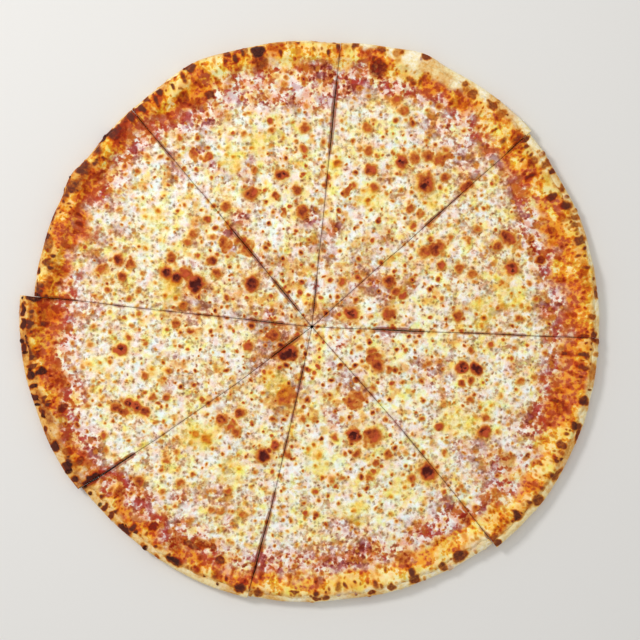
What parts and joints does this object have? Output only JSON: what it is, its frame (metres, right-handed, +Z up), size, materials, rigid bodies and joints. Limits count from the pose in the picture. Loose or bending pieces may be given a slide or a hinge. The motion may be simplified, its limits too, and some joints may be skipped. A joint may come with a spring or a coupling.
{
  "type": "cheese pizza",
  "caption": "Round thin baked cheese pizza with a low puffed and browned rim, tomato sauce under spotted melted cheese, cut into slices that lie together.",
  "frame": {"origin": "on the surface the pizza rests on, under the middle of its outline", "axes": "+Z up; +X towards 3 o'clock and +Y towards 12 o'clock as the pizza is seen from above"},
  "size_m": [0.4127, 0.3991, 0.0135],
  "materials": {
    "crust": "matte baked dough",
    "sauce": "moist tomato sauce",
    "cheese": "oily melted cheese, browned in spots"
  },
  "bodies": {
    "root": {"slice_1_crust": "crust", "slice_1_sauce": "sauce", "slice_1_cheese": "cheese", "slice_2_crust": "crust", "slice_2_sauce": "sauce", "slice_2_cheese": "cheese", "slice_3_crust": "crust", "slice_3_sauce": "sauce", "slice_3_cheese": "cheese", "slice_4_crust": "crust", "slice_4_sauce": "sauce", "slice_4_cheese": "cheese", "slice_5_crust": "crust", "slice_5_sauce": "sauce", "slice_5_cheese": "cheese", "slice_6_crust": "crust", "slice_6_sauce": "sauce", "slice_6_cheese": "cheese", "slice_7_crust": "crust", "slice_7_sauce": "sauce", "slice_7_cheese": "cheese", "slice_8_crust": "crust", "slice_8_sauce": "sauce", "slice_8_cheese": "cheese"}
  },
  "joints": []
}
